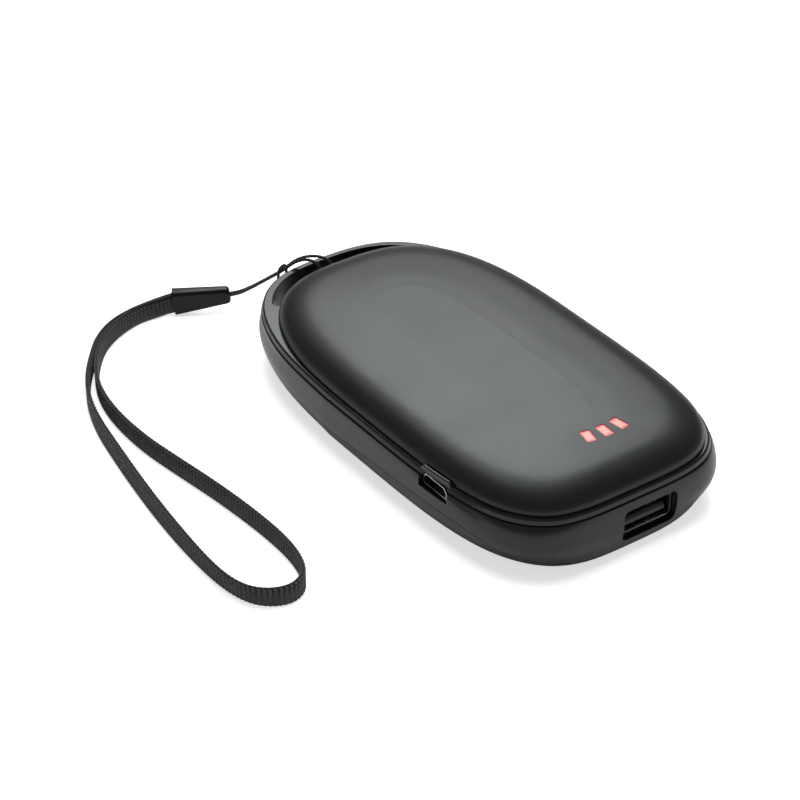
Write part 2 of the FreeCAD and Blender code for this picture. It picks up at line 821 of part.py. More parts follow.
def stem_front():
    return flange_front() - flange_thickness


def switch_stem():
    front = stem_front()
    back = front - stem_reach - stem_insert
    return box(button_x - stem_length / 2, button_x + stem_length / 2, back, front,
               button_z - stem_height / 2, button_z + stem_height / 2)


def switch_body():
    front = stem_front() - stem_reach
    body = box(button_x - switch_length / 2, button_x + switch_length / 2, front - switch_depth, front,
               board_top, board_top + switch_height)
    pocket = box(button_x - stem_length / 2 - stem_clearance, button_x + stem_length / 2 + stem_clearance,
                 front - stem_insert - button_travel - stem_clearance * 2, front + overrun,
                 button_z - stem_height / 2 - stem_clearance, button_z + stem_height / 2 + stem_clearance)
    return body.cut(pocket)


def battery_cell():
    cell = box(cell_back, cell_front, -cell_half_width, cell_half_width, cell_bottom, cell_top)
    long_edges = [e for e in cell.Edges if e.BoundBox.XLength > cell_half_width]
    return cell.makeFillet(cell_round, long_edges)


def heater_film(low):
    back = cell_back - film_overhang
    return block((back + cell_front) / 2, 0, low, cell_front - back, (cell_half_width + film_overhang) * 2,
                 film_thickness, film_corner)


def pad(low, high):
    return block((cell_back + cell_front) / 2, 0, low, cell_front - cell_back - pad_inset * 2,
                 cell_half_width * 2 - pad_inset * 2, high - low, cell_round)


def protection_board():
    back = cell_front + guard_gap
    return box(back, back + guard_depth, -guard_half_width, guard_half_width, guard_bottom,
               guard_bottom + guard_thickness)


def battery_tabs():
    tabs = []
    for sign in (-1, 1):
        tabs.append(box(cell_front, cell_front + tab_length, sign * tab_spread - tab_width / 2,
                        sign * tab_spread + tab_width / 2, guard_bottom - tab_thickness, guard_bottom))
    return group(tabs)


def bent_path(points, bend):
    # Straight runs joined by tangent arcs; bend gives each arc's radius from its runs and turn.
    edges = []
    last = points[0]
    radii = []
    for index in range(1, len(points) - 1):
        corner = points[index]
        before = points[index - 1] - corner
        after = points[index + 1] - corner
        half_turn = (math.pi - before.getAngle(after)) / 2
        radius = bend(min(before.Length, after.Length), half_turn)
        setback = radius * math.tan(half_turn)
        before.normalize()
        after.normalize()
        start = corner + before * setback
        end = corner + after * setback
        inward = before + after
        inward.normalize()
        middle = corner + inward * (radius / math.cos(half_turn) - radius)
        edges.append(Part.LineSegment(last, start).toShape())
        edges.append(Part.Arc(start, middle, end).toShape())
        radii.append(radius)
        last = end
    edges.append(Part.LineSegment(last, points[-1]).toShape())
    return Part.Wire(edges), radii


def route_bend(run, half_turn):
    return route_bend_share * run / math.tan(half_turn)


def tube(points, radius, bend):
    path, radii = bent_path(points, bend)
    ring = Part.Wire(Part.Circle(points[0], points[1] - points[0], radius).toShape())
    return path.makePipeShell([ring], True, False), path.Length, radii


def wire_between(points, radius, bend_radius):
    return tube(points, radius, lambda run, half_turn: bend_radius)[0]


def battery_lead(sign):
    x = cell_front + guard_gap + guard_depth / 2
    low = guard_bottom + guard_thickness
    landing = board_back + lead_landing
    y = sign * lead_spread
    high = low + lead_rise
    points = [V(x, y, low), V(x, y, high), V(landing, y, high), V(landing, y, board_top)]
    return wire_between(points, lead_radius, lead_bend)


def heater_leads(film_face, direction, board_face):
    z = film_face + direction * (heater_lead_radius + heater_lead_gap)
    start = cell_front - film_overhang
    landing = board_back + heater_lead_landing
    leads = []
    for index in range(2):
        y = heater_lead_y - index * heater_lead_pitch
        points = [V(start, y, z), V(landing, y, z), V(landing, y, board_face)]
        leads.append(wire_between(points, heater_lead_radius, heater_lead_bend))
    return group(leads)


def heat_sensor():
    z = roof_inside - film_thickness - heater_lead_gap - sensor_radius
    x = cell_front - film_overhang
    bead = Part.makeSphere(sensor_radius, V(x, sensor_y, z))
    return bead


def sensor_leads():
    z = roof_inside - film_thickness - heater_lead_gap - sensor_radius
    start = cell_front - film_overhang + sensor_radius
    landing = board_back + sensor_lead_landing
    leads = []
    for sign in (-1, 1):
        y = sensor_y + sign * sensor_lead_pitch / 2
        points = [V(start, y, z), V(landing, y, z), V(landing, y, board_top)]
        leads.append(wire_between(points, sensor_lead_radius, heater_lead_bend))
    return group(leads)


def power_coil():
    body = block(coil_x, coil_y, board_top, coil_size, coil_size, coil_height, coil_corner)
    top = board_top + coil_height
    cap = Part.makeCylinder(coil_button_radius, coil_button_height, V(coil_x, coil_y, top))
    return joined([body, cap])


def chip(x, y, length, width):
    body = block(x, y, board_top, length, width, chip_height)
    body = body.makeChamfer(pin_thickness / 2, [e for e in body.Edges if e.BoundBox.ZMin > board_top])
    solids = [body]
    pitch = length / pin_count
    for index in range(pin_count):
        pin_x = x + (index - (pin_count - 1) / 2) * pitch
        for sign in (-1, 1):
            y0 = y + sign * width / 2
            y1 = y0 + sign * pin_length
            solids.append(box(pin_x - pin_width / 2, pin_x + pin_width / 2, min(y0, y1), max(y0, y1),
                              board_top, board_top + pin_thickness))
    return group(solids)


def chip_parts():
    parts = []
    for index in range(chip_part_count):
        y = chip_part_y + index * chip_part_pitch
        parts.append(block(chip_part_x, y, board_top, chip_part_length, chip_part_width, chip_part_height))
    return group(parts)


def clamp_axis():
    axis = clamp_exit - clamp_mouth
    axis.normalize()
    return axis


def clamp_side():
    side = clamp_axis().cross(V(0, 0, 1))
    side.normalize()
    return side


def clamp_section(centre, height, thickness):
    # A rectangle square to the clamp's axis, tall in the upright direction.
    side = clamp_side()
    rise = side.cross(clamp_axis())
    corners = []
    for s, r in ((1, 1), (-1, 1), (-1, -1), (1, -1)):
        corners.append(centre + side * (s * thickness / 2) + rise * (r * height / 2))
    return Part.makePolygon(corners + corners[:1])


def clamp_block(start, start_size, end, end_size, corner):
    # A straight or tapered block along the clamp's axis with its four long edges rounded.
    solid = Part.makeLoft([clamp_section(start, *start_size), clamp_section(end, *end_size)], True, True)
    axis = clamp_axis()
    half = (end - start).Length / 2
    long_edges = [e for e in solid.Edges
                  if abs((e.Vertexes[1].Point - e.Vertexes[0].Point).dot(axis)) > half]
    return solid.makeFillet(corner, long_edges)


def strap_clamp():
    axis = clamp_axis()
    body = clamp_block(clamp_mouth, (clamp_mouth_height, clamp_mouth_thickness),
                       clamp_exit, (clamp_exit_height, clamp_exit_thickness), clamp_corner)
    hold_size = (clamp_mouth_height - clamp_wall * 2, clamp_mouth_thickness - clamp_wall * 2)
    hold_end = clamp_mouth + axis * clamp_hold_depth
    hold = clamp_block(clamp_mouth - axis * overrun, hold_size, hold_end, hold_size,
                       clamp_corner - clamp_wall)
    neck_size = (clamp_neck_height, clamp_neck_width)
    neck_start = clamp_exit - axis * (string_grip + overrun / 4)
    neck = clamp_block(neck_start, neck_size, clamp_exit + axis * overrun, neck_size, clamp_neck_height / 4)
    return body.cut(hold).cut(neck)


def strap_band():
    # A flat band on its edge along the route, both ends held in the clamp along its axis.
    axis, side = clamp_axis(), clamp_side()
    low = band_lift + band_width / 2
    points = [V(x - rim_half_length, y, low) for x, y in band_route]
    for index, share in enumerate(band_rise_shares):
        rise = V(0, 0, share * (clamp_mouth.z - low))
        points[index] += rise
        points[-1 - index] += rise
    start = clamp_mouth + side * band_spread
    end = clamp_mouth - side * band_spread
    points = [start + axis * band_grip, start - axis * clamp_lead_in] + points
    points += [end - axis * clamp_lead_in, end + axis * band_grip]
    path, radii = bent_path(points, route_bend)
    along = (points[1] - points[0]).normalize()
    across = V(-along.y, along.x, 0).normalize() * (band_thickness / 2)
    up = along.cross(across).normalize() * (band_width / 2)
    first = points[0]
    corners = [first + across + up, first - across + up, first - across - up, first + across - up]
    section = Part.makePolygon(corners + corners[:1])
    solid = path.makePipeShell([section], True, False)
    return solid, path.Length, radii


def string_points():
    return [V(x - rim_half_length, y, share * rim_height) for x, y, share in string_route_shares]


def hang_string():
    axis = clamp_axis()
    side = clamp_side()
    first = clamp_exit + side * string_spread
    last = clamp_exit - side * string_spread
    route = string_points()
    points = [first - axis * string_grip, first + axis * string_grip] + route
    points += [last + axis * string_grip, last - axis * string_grip]
    return tube(points, string_diameter / 2, route_bend)


def least_gap(points, thickness, apart):
    # Least free gap between stretches of a route that are well apart along it.
    wire, _ = bent_path(points, route_bend)
    samples = wire.discretize(Distance=thickness)
    skip = int(apart / thickness)
    return min(a.distanceToPoint(b) for i, a in enumerate(samples) for b in samples[i + skip:]) - thickness


def write(name, shape):
    solids = shape.Solids
    if not shape.isValid() or not solids:
        raise ValueError(name + " is not a valid solid")
    shape = solids[0] if len(solids) == 1 else group(solids)
    shape.exportStep("parts/" + name + ".step")


wall = body_wall()
film_low = roof_inside - film_thickness
lower_film_top = floor_thickness + film_thickness
band, band_length, band_radii = strap_band()
string, string_length, string_radii = hang_string()

shapes = {
    "top_cover": top_cover(),
    "mid_frame": mid_frame(wall),
    "bottom_cover": bottom_cover(wall),
    "light_guide": light_guide(),
    "light_shade": light_shade(),
    "status_lights": status_lights(),
    "main_board": main_board(),
    "board_screws": board_screws(),
    "output_socket_shell": output_socket_shell(),
    "output_socket_tongue": output_socket_tongue(),
    "output_socket_contacts": output_socket_contacts(),
    "charge_inlet_shell": charge_inlet_shell(),
    "charge_inlet_tongue": charge_inlet_tongue(),
    "charge_inlet_contacts": charge_inlet_contacts(),
    "power_button": power_button(),
    "switch_stem": switch_stem(),
    "switch_body": switch_body(),
    "battery_cell": battery_cell(),
    "battery_tabs": battery_tabs(),
    "protection_board": protection_board(),
    "battery_lead_red": battery_lead(-1),
    "battery_lead_black": battery_lead(1),
    "upper_heater_film": heater_film(film_low),
    "lower_heater_film": heater_film(floor_thickness),
    "upper_heater_leads": heater_leads(film_low, -1, board_top),
    "lower_heater_leads": heater_leads(lower_film_top, 1, board_bottom),
    "upper_pad": pad(cell_top, film_low),
    "lower_pad": pad(lower_film_top, cell_bottom),
    "heat_sensor": heat_sensor(),
    "sensor_leads": sensor_leads(),
    "power_coil": power_coil(),
    "control_chip": chip(control_chip_x, control_chip_y, control_chip_length, control_chip_width),
    "power_chip": chip(power_chip_x, power_chip_y, power_chip_length, power_chip_width),
    "chip_parts": chip_parts(),
    "strap_band": band,
    "strap_clamp": strap_clamp(),
    "hang_string": string,
}
for name, shape in shapes.items():
    write(name, shape)

string_area = math.pi * string_diameter ** 2 / 4
print("band length %.1f, radii %s" % (band_length, [round(r, 1) for r in band_radii]))
print("band volume %.2f of %.2f" % (band.Volume, band_length * band_width * band_thickness))
print("string length %.1f, radii %s" % (string_length, [round(r, 2) for r in string_radii]))
print("string volume %.3f of %.3f" % (string.Volume, string_length * string_area))
print("string least gap %.2f" % least_gap(string_points(), string_diameter, string_apart))
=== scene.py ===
import json
import math

import bmesh
import bpy
from mathutils import Matrix, Vector


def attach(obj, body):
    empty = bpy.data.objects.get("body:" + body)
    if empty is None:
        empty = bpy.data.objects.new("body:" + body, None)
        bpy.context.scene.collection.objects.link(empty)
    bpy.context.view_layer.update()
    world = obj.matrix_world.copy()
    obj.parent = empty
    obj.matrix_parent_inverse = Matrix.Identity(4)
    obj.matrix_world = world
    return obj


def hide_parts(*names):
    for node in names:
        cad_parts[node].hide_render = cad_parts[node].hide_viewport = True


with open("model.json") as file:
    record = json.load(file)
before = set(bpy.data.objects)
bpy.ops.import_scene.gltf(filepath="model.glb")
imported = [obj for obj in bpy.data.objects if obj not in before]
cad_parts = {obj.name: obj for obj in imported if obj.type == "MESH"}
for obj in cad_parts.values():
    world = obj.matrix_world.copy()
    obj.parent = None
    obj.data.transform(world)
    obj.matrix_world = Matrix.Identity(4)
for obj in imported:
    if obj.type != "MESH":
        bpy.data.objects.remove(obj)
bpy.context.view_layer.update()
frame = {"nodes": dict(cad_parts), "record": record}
nodes = frame["nodes"]
scene = bpy.context.scene
mm = 0.001
print("stage: frame loaded, %d nodes" % len(nodes))


def linearChannel(value):
    return value / 12.92 if value <= 0.04045 else ((value + 0.055) / 1.055) ** 2.4


def hexColour(text):
    channels = [int(text[i:i + 2], 16) / 255 for i in (1, 3, 5)]
    return tuple(linearChannel(c) for c in channels) + (1.0,)


def addNode(tree, kind, inputs=None, **settings):
    node = tree.nodes.new(kind)
    for key, value in settings.items():
        setattr(node, key, value)
    for key, value in (inputs or {}).items():
        if isinstance(value, bpy.types.NodeSocket):
            tree.links.new(value, node.inputs[key])
        else:
            node.inputs[key].default_value = value
    return node


def linkMesh(name, mesh):
    piece = bpy.data.objects.new(name, mesh)
    scene.collection.objects.link(piece)
    return piece


# Camera: a long lens above the socket corner of the case.
camera = {
    "place": (343.06, -261.87, 297.75),
    "right": (0.57905, 0.81529, 0.0),
    "up": (-0.45693, 0.32453, 0.82819),
    "back": (0.67521, -0.47956, 0.56045),
    "lens": 108.0,
    "sensor": 36.0,
    "clipStart": 10.0 * mm,
}
cameraData = bpy.data.cameras.new("camera")
cameraData.lens = camera["lens"]
cameraData.sensor_width = camera["sensor"]
cameraData.clip_start = camera["clipStart"]
cameraObject = bpy.data.objects.new("camera", cameraData)
scene.collection.objects.link(cameraObject)
columns = [Vector(camera[key]) for key in ("right", "up", "back")] + [Vector(camera["place"]) * mm]
cameraObject.matrix_world = Matrix([[c[row] for c in columns] for row in range(3)] + [[0, 0, 0, 1]])
scene.camera = cameraObject
print("stage: camera")


def mathNode(tree, operation, first, second=0.0):
    return addNode(tree, "ShaderNodeMath", {0: first, 1: second}, operation=operation).outputs[0]


# Materials. Each function makes one kind of real surface; pattern sizes are in millimetres.
def startMaterial(name):
    material = bpy.data.materials.new(name)
    material.use_nodes = True
    tree = material.node_tree
    shader = tree.nodes["Principled BSDF"]
    coords = addNode(tree, "ShaderNodeTexCoord")
    return material, tree, shader, coords.outputs["Object"]


def noiseAt(tree, coords, sizeMm, detail=2.0, stretch=(1, 1, 1)):
    scale = tuple(share / (sizeMm * mm) for share in stretch)
    scaled = addNode(tree, "ShaderNodeMapping", {"Vector": coords, "Scale": scale})
    inputs = {"Vector": scaled.outputs[0], "Scale": 1.0, "Detail": detail}
    return addNode(tree, "ShaderNodeTexNoise", inputs)


def mixColour(tree, factor, first, second):
    # Sockets 6 and 7 of the mixing node are its two colours.
    mixer = addNode(tree, "ShaderNodeMix", data_type="RGBA")
    tree.links.new(factor, mixer.inputs["Factor"])
    for socket, value in ((mixer.inputs[6], first), (mixer.inputs[7], second)):
        if isinstance(value, bpy.types.NodeSocket):
            tree.links.new(value, socket)
        else:
            socket.default_value = value
    return mixer.outputs[2]


def ranged(tree, value, low, high):
    node = addNode(tree, "ShaderNodeMapRange", {"Value": value, "To Min": low, "To Max": high})
    return node.outputs[0]


# What the grained surfaces share: clouds in the gloss, a slightly cool reflection.
grained = {
    "grainDetail": 3.0,
    "cloudScale": 60,
    "roughShares": (0.92, 1.08),
    "reflection": (0.93, 0.99, 1.0, 1.0),
    "edgeSamples": 6,
}


def grainedSurface(name, dark, light, rough, grainMm, depthMm, ior=1.5, edgeMm=0.0, gloss=0.5):
    # A fine even grain: two tones, a little unevenness in gloss, and a shallow bump.
    material, tree, shader, coords = startMaterial(name)
    grain = noiseAt(tree, coords, grainMm, grained["grainDetail"])
    cloud = noiseAt(tree, coords, grainMm * grained["cloudScale"])
    tone = mixColour(tree, grain.outputs["Fac"], hexColour(dark), hexColour(light))
    tree.links.new(tone, shader.inputs["Base Color"])
    low, high = (rough * share for share in grained["roughShares"])
    tree.links.new(ranged(tree, cloud.outputs["Fac"], low, high), shader.inputs["Roughness"])
    bump = addNode(tree, "ShaderNodeBump", {"Height": grain.outputs["Fac"], "Distance": depthMm * mm,
                                            "Strength": 1.0})
    if edgeMm:
        rounded = addNode(tree, "ShaderNodeBevel", {"Radius": edgeMm * mm}, samples=grained["edgeSamples"])
        tree.links.new(rounded.outputs[0], bump.inputs["Normal"])
    tree.links.new(bump.outputs[0], shader.inputs["Normal"])
    shader.inputs["IOR"].default_value = ior
    shader.inputs["Specular IOR Level"].default_value = gloss
    shader.inputs["Specular Tint"].default_value = grained["reflection"]
    return material


yarn = {
    "stretch": (1, 1, 0.35),
    "patchScale": 30,
    "patchDetail": 1.0,
    "patchShare": 0.25,
    "bumpShare": 0.3,
    "rough": 0.72,
    "sheen": 0.25,
    "sheenRough": 0.5,
    "ior": 1.57,
}


def wovenFibre(name, dark, light, threadMm, stitchGapShade=None):
    # Polyester or nylon yarn: fine threads, a soft sheen, and painted shade on the core between the
    # stitches.
    material, tree, shader, coords = startMaterial(name)
    thread = noiseAt(tree, coords, threadMm, stretch=yarn["stretch"])
    patch = noiseAt(tree, coords, threadMm * yarn["patchScale"], yarn["patchDetail"])
    fine = mixColour(tree, thread.outputs["Fac"], hexColour(dark), hexColour(light))
    worn = ranged(tree, patch.outputs["Fac"], 0.0, yarn["patchShare"])
    tone = mixColour(tree, worn, fine, hexColour(dark))
    # Painted shade: the core between the raised stitches takes a near-black colour.
    if stitchGapShade:
        raised = addNode(tree, "ShaderNodeAttribute", attribute_name="raised").outputs["Fac"]
        tone = mixColour(tree, raised, hexColour(stitchGapShade), tone)
    tree.links.new(tone, shader.inputs["Base Color"])
    depth = threadMm * yarn["bumpShare"] * mm
    bump = addNode(tree, "ShaderNodeBump", {"Height": thread.outputs["Fac"], "Distance": depth})
    tree.links.new(bump.outputs[0], shader.inputs["Normal"])
    shader.inputs["Roughness"].default_value = yarn["rough"]
    shader.inputs["Sheen Weight"].default_value = yarn["sheen"]
    shader.inputs["Sheen Roughness"].default_value = yarn["sheenRough"]
    shader.inputs["IOR"].default_value = yarn["ior"]
    return material


drawn = {"lineDetail": 3.0, "roughShares": (0.75, 1.25)}


def brushedMetal(name, dark, light, rough, lineMm, stretch):
    # Drawn or rolled metal: long fine lines in the tone and the gloss.
    material, tree, shader, coords = startMaterial(name)
    lines = noiseAt(tree, coords, lineMm, drawn["lineDetail"], stretch)
    tone = mixColour(tree, lines.outputs["Fac"], hexColour(dark), hexColour(light))
    tree.links.new(tone, shader.inputs["Base Color"])
    low, high = (rough * share for share in drawn["roughShares"])
    tree.links.new(ranged(tree, lines.outputs["Fac"], low, high), shader.inputs["Roughness"])
    shader.inputs["Metallic"].default_value = 1.0
    return material


etched = {"waveScale": 0.31, "gapShare": 0.45, "rough": 0.3, "ior": 1.7}


def trackFilm(name, film, track, pitchMm):
    # Amber film with the etched heater tracks showing as parallel bands.
    material, tree, shader, coords = startMaterial(name)
    scale = etched["waveScale"] / (pitchMm * mm)
    wave = addNode(tree, "ShaderNodeTexWave", {"Vector": coords, "Scale": scale},
                   bands_direction="Y", wave_profile="TRI")
    step = mathNode(tree, "GREATER_THAN", wave.outputs["Fac"], etched["gapShare"])
    tone = mixColour(tree, step, hexColour(film), hexColour(track))
    tree.links.new(tone, shader.inputs["Base Color"])
    shader.inputs["Roughness"].default_value = etched["rough"]
    shader.inputs["IOR"].default_value = etched["ior"]
    return material


masked = {"patternScale": 0.6, "trackShare": 0.04, "rough": 0.35}


def boardMask(name, mask, copper, pitchMm):
    # Solder mask over copper: paler lines where tracks run under the mask.
    material, tree, shader, coords = startMaterial(name)
    scaled = addNode(tree, "ShaderNodeMapping", {"Vector": coords, "Scale": (1 / (pitchMm * mm),) * 3})
    brick = addNode(tree, "ShaderNodeTexBrick", {
        "Vector": scaled.outputs[0], "Scale": masked["patternScale"], "Mortar Size": masked["trackShare"],
        "Color1": hexColour(mask), "Color2": hexColour(mask), "Mortar": hexColour(copper)})
    tree.links.new(brick.outputs["Color"], shader.inputs["Base Color"])
    shader.inputs["Roughness"].default_value = masked["rough"]
    return material


lens = {
    "body": "#3a0c0c",
    "mottleMm": 0.9,
    "mottle": 0.18,
    "edgeAt": 1.0,
    "middleAt": 0.45,
    "rough": 0.3,
    "ior": 1.49,
}


def litLens(name, edge, centre, glow, windows):
    # Diffusing acrylic lit from below: hot pale middle and deep red edge in each window.
    material, tree, shader, coords = startMaterial(name)
    nearest = None
    for x, y, turn in windows["places"]:
        local = addNode(tree, "ShaderNodeMapping", {
            "Vector": coords, "Location": (x * mm, y * mm, 0), "Rotation": (0, 0, math.radians(turn)),
            "Scale": (windows["length"] * mm / 2, windows["width"] * mm / 2, 1)}, vector_type="TEXTURE")
        parts = addNode(tree, "ShaderNodeSeparateXYZ", {"Vector": local.outputs[0]}).outputs
        along, across = (mathNode(tree, "ABSOLUTE", parts[axis]) for axis in "XY")
        reach = mathNode(tree, "MAXIMUM", along, across)
        nearest = reach if nearest is None else mathNode(tree, "MINIMUM", nearest, reach)
    mottle = noiseAt(tree, coords, lens["mottleMm"]).outputs["Fac"]
    uneven = mathNode(tree, "ADD", nearest, ranged(tree, mottle, -lens["mottle"], lens["mottle"]))
    depth = addNode(tree, "ShaderNodeMapRange", {
        "Value": uneven, "From Min": lens["edgeAt"], "From Max": lens["middleAt"]},
        interpolation_type="SMOOTHSTEP").outputs[0]
    tone = mixColour(tree, depth, hexColour(edge), hexColour(centre))
    shader.inputs["Base Color"].default_value = hexColour(lens["body"])
    tree.links.new(tone, shader.inputs["Emission Color"])
    shader.inputs["Emission Strength"].default_value = glow
    shader.inputs["Roughness"].default_value = lens["rough"]
    shader.inputs["IOR"].default_value = lens["ior"]
    return material


# The three windows: centre in millimetres and turn in degrees.
windows = {
    "places": ((40.9, -0.6, -11.0), (41.2, 3.4, 0.0), (40.9, 7.4, 11.0)),
    "length": 3.7,
    "width": 2.25,
}

finishes = {
    # matt soft-touch paint on the aluminium shells
    "cover_coat": grainedSurface("softTouchPaint", "#141617", "#1c1e1f", 0.37, 0.22, 0.005),
    "base_coat": grainedSurface("basePaint", "#111213", "#17191a", 0.42, 0.22, 0.005),
    # satin moulded plastic of the frame
    "frame_plastic": grainedSurface("satinPlastic", "#0f1011", "#141516", 0.28, 0.3, 0.002,
                                    ior=1.53, edgeMm=0.15),
    "button_plastic": grainedSurface("buttonPlastic", "#161718", "#1c1d1f", 0.36, 0.3, 0.003,
                                     ior=1.53, edgeMm=0.2),
    "window_lens": litLens("litAcrylic", "#d8262a", "#ffa898", 0.9, windows),
    "light_body": grainedSurface("lightResin", "#c8402f", "#e06048", 0.25, 0.4, 0.002),
    "shade_plastic": grainedSurface("shadePlastic", "#161616", "#1c1c1c", 0.6, 0.3, 0.004),
    "switch_plastic": grainedSurface("switchPlastic", "#202020", "#282828", 0.5, 0.3, 0.004),
    "stem_plastic": grainedSurface("stemPlastic", "#8c2a20", "#a0342a", 0.45, 0.3, 0.004),
    "board_laminate": boardMask("greenSolderMask", "#1d5a37", "#3f7d50", 1.4),
    "guard_laminate": boardMask("blueSolderMask", "#1f3f70", "#4a6c9c", 1.2),
    "screw_steel": brushedMetal("zincSteel", "#8a8a8c", "#b0b0b2", 0.3, 0.15, (1, 1, 0.2)),
    "socket_steel": brushedMetal("nickelSheet", "#9a9a9a", "#bcbbb8", 0.28, 0.12, (0.1, 1, 1)),
    "tab_nickel": brushedMetal("nickelStrip", "#9a9a96", "#bcbcb8", 0.3, 0.12, (0.1, 1, 1)),
    "contact_gold": brushedMetal("goldFlash", "#b08a48", "#d8b46c", 0.25, 0.1, (0.1, 1, 1)),
    "cell_pouch": brushedMetal("pouchFoil", "#9c9ea2", "#b8babd", 0.4, 0.5, (0.3, 1, 1)),
    "socket_insulator": grainedSurface("greyMoulding", "#3c3e41", "#46484b", 0.45, 0.25, 0.003),
    "inlet_insulator": grainedSurface("blackMoulding", "#18191a", "#202122", 0.45, 0.25, 0.003),
    "chip_resin": grainedSurface("chipResin", "#1f1f21", "#2a2a2c", 0.6, 0.12, 0.004),
    "coil_ferrite": grainedSurface("pressedFerrite", "#4a4a4c", "#5c5c5e", 0.7, 0.15, 0.01),
    "chip_ceramic": grainedSurface("firedCeramic", "#a58a62", "#b89a72", 0.5, 0.2, 0.004),
    "lead_red": grainedSurface("redInsulation", "#a81e1c", "#b82a26", 0.5, 0.4, 0.003),
    "lead_black": grainedSurface("blackInsulation", "#151515", "#1b1b1b", 0.5, 0.4, 0.003),
    "lead_white": grainedSurface("whiteInsulation", "#d0d0cc", "#dcdcd8", 0.5, 0.4, 0.003),
    "heater_film": trackFilm("amberHeaterFilm", "#9a5a1c", "#b9763a", 2.0),
    "pad_foam": grainedSurface("siliconeFoam", "#4a4b4d", "#5e5f62", 0.9, 0.4, 0.08),
    "sensor_resin": grainedSurface("sensorResin", "#23242a", "#2c2d34", 0.2, 0.3, 0.002),
    # braided polyester of the strap, with painted shade on the core between its stitches, and twisted nylon
    # of the string
    "strap_braid": wovenFibre("polyesterBraid", "#3e4246", "#666b70", 0.12, "#0e0f10"),
    "string_nylon": wovenFibre("nylonString", "#17181a", "#2c2d30", 0.08),
    "clamp_plastic": grainedSurface("clampPlastic", "#0c0d0e", "#111213", 0.34, 0.25, 0.003,
                                    edgeMm=0.25, gloss=0.3),
}
slotOf = {row["node"]: row["material_slot"] for row in frame["record"]["subparts"]}
for nodeName, node in nodes.items():
    node.data.materials.clear()
    node.data.materials.append(finishes[slotOf[nodeName]])
print("stage: materials, %d" % len(finishes))


# Cords: each route is a smooth spline through given points, in millimetres.
smoothness = {"order": 3, "resolution": 12}


def routeCurve(name, points, tilts=None):
    data = bpy.data.curves.new(name, "CURVE")
    data.dimensions = "3D"
    data.twist_mode = "Z_UP"
    spline = data.splines.new("NURBS")
    spline.points.add(len(points) - 1)
    for index, point in enumerate(points):
        spline.points[index].co = [c * mm for c in point] + [1.0]
        if tilts:
            spline.points[index].tilt = tilts.get(index, 0.0)
    spline.order_u = smoothness["order"]
    spline.use_endpoint_u = True
    spline.resolution_u = smoothness["resolution"]
    return linkMesh(name, data)


def routeLine(curve):
    bpy.context.view_layer.update()
    mesh = bpy.data.meshes.new_from_object(curve)
    line = [v.co.copy() for v in mesh.vertices]
    bpy.data.meshes.remove(mesh)
    return line


def lineLength(line):
    return sum((b - a).length for a, b in zip(line, line[1:]))


def newTree(name, inputs):
    # A geometry tree with its geometry sockets and the named number inputs.
    tree = bpy.data.node_groups.new(name, "GeometryNodeTree")
    tree.interface.new_socket("Geometry", in_out="INPUT", socket_type="NodeSocketGeometry")
    tree.interface.new_socket("Geometry", in_out="OUTPUT", socket_type="NodeSocketGeometry")
    for key, value in inputs.items():
        kind = "NodeSocketInt" if isinstance(value, int) else "NodeSocketFloat"
        tree.interface.new_socket(key, in_out="INPUT", socket_type=kind)
    source = addNode(tree, "NodeGroupInput")
    return tree, source.outputs


def endTree(tree, geometry, material):
    real = addNode(tree, "GeometryNodeRealizeInstances", {"Geometry": geometry})
    painted = addNode(tree, "GeometryNodeSetMaterial", {"Geometry": real.outputs[0], "Material": material})
    smooth = addNode(tree, "GeometryNodeSetShadeSmooth", {"Geometry": painted.outputs[0]})
    addNode(tree, "NodeGroupOutput", {"Geometry": smooth.outputs[0]})


def bakeTree(carrier, tree, values, name):
    modifier = carrier.modifiers.new("build", "NODES")
    modifier.node_group = tree
    for item in tree.interface.items_tree:
        if item.in_out == "INPUT" and item.name in values:
            modifier[item.identifier] = values[item.name]
    bpy.context.view_layer.update()
    evaluated = carrier.evaluated_get(bpy.context.evaluated_depsgraph_get())
    mesh = bpy.data.meshes.new_from_object(evaluated)
    carrier.modifiers.remove(modifier)
    return linkMesh(name, mesh)


def vectorOf(tree, x=0.0, y=0.0, z=0.0):
    return addNode(tree, "ShaderNodeCombineXYZ", {"X": x, "Y": y, "Z": z}).outputs[0]


